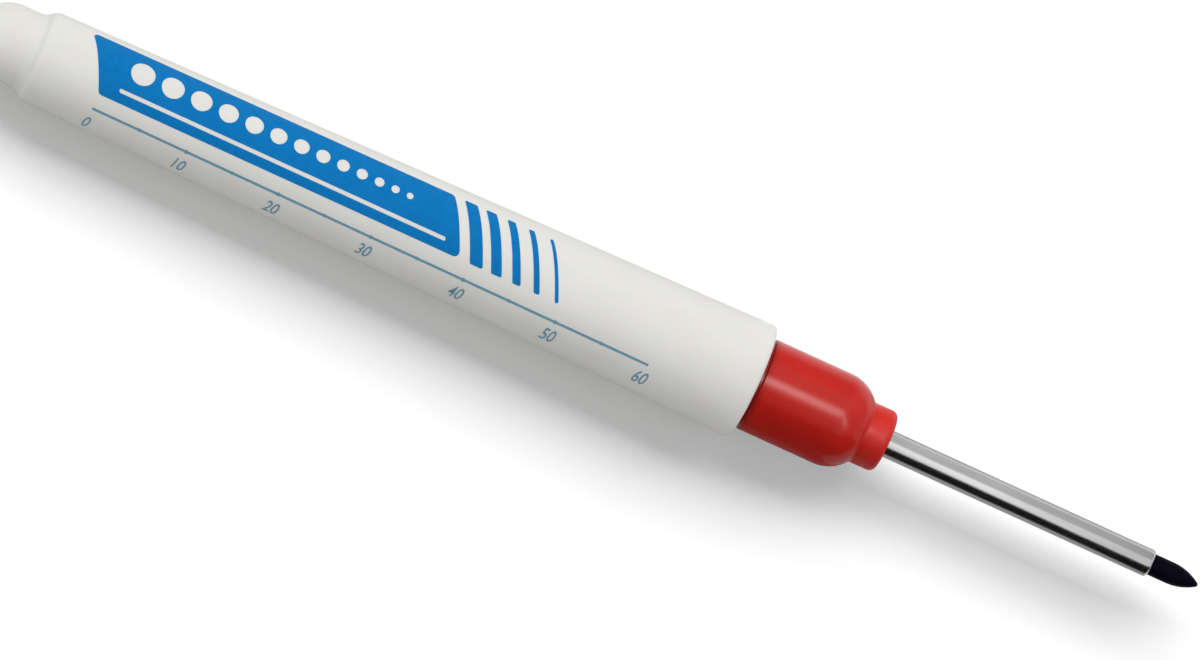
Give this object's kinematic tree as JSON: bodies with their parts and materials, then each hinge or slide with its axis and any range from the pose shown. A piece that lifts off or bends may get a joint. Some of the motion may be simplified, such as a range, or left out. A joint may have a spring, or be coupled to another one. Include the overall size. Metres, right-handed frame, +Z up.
{
  "type": "deep hole marker",
  "caption": "Slim marker with a tapered barrel, a domed front section and a fibre nib in a long steel tube, for marking through drilled holes.",
  "frame": {"origin": "on the marker's axis, at the mouth of the barrel, where the cap seat of the front section begins", "axes": "+X along the marker's axis towards the nib, +Z up with the marker lying on its side"},
  "size_m": [0.1334, 0.012, 0.012],
  "materials": {
    "barrel_white": "satin moulded polypropylene, warm white",
    "section_red": "glossy moulded polypropylene, red",
    "tube_steel": "polished drawn stainless steel",
    "nib_fibre": "bonded fibre soaked with dark blue-black ink",
    "core_fibre": "bundled polyester fibre soaked with ink",
    "wrap_film": "thin white film",
    "print_blue": "blue ink printed on the barrel"
  },
  "bodies": {
    "barrel": {"barrel": "barrel_white", "ink_reservoir": "core_fibre", "reservoir_wrap": "wrap_film"},
    "front_section": {"front_section": "section_red", "nib_tube": "tube_steel"},
    "nib": {"nib": "nib_fibre"},
    "end_plug": {"end_plug": "barrel_white"}
  },
  "joints": [
    {"name": "section_pull", "type": "slide", "parent": "barrel", "child": "front_section", "axis": [1, 0, 0], "range_m": [0, 0.016]},
    {"name": "nib_pull", "type": "slide", "parent": "front_section", "child": "nib", "axis": [1, 0, 0], "range_m": [0, 0.058]},
    {"name": "plug_pull", "type": "slide", "parent": "barrel", "child": "end_plug", "axis": [-1, 0, 0], "range_m": [0, 0.012]}
  ]
}
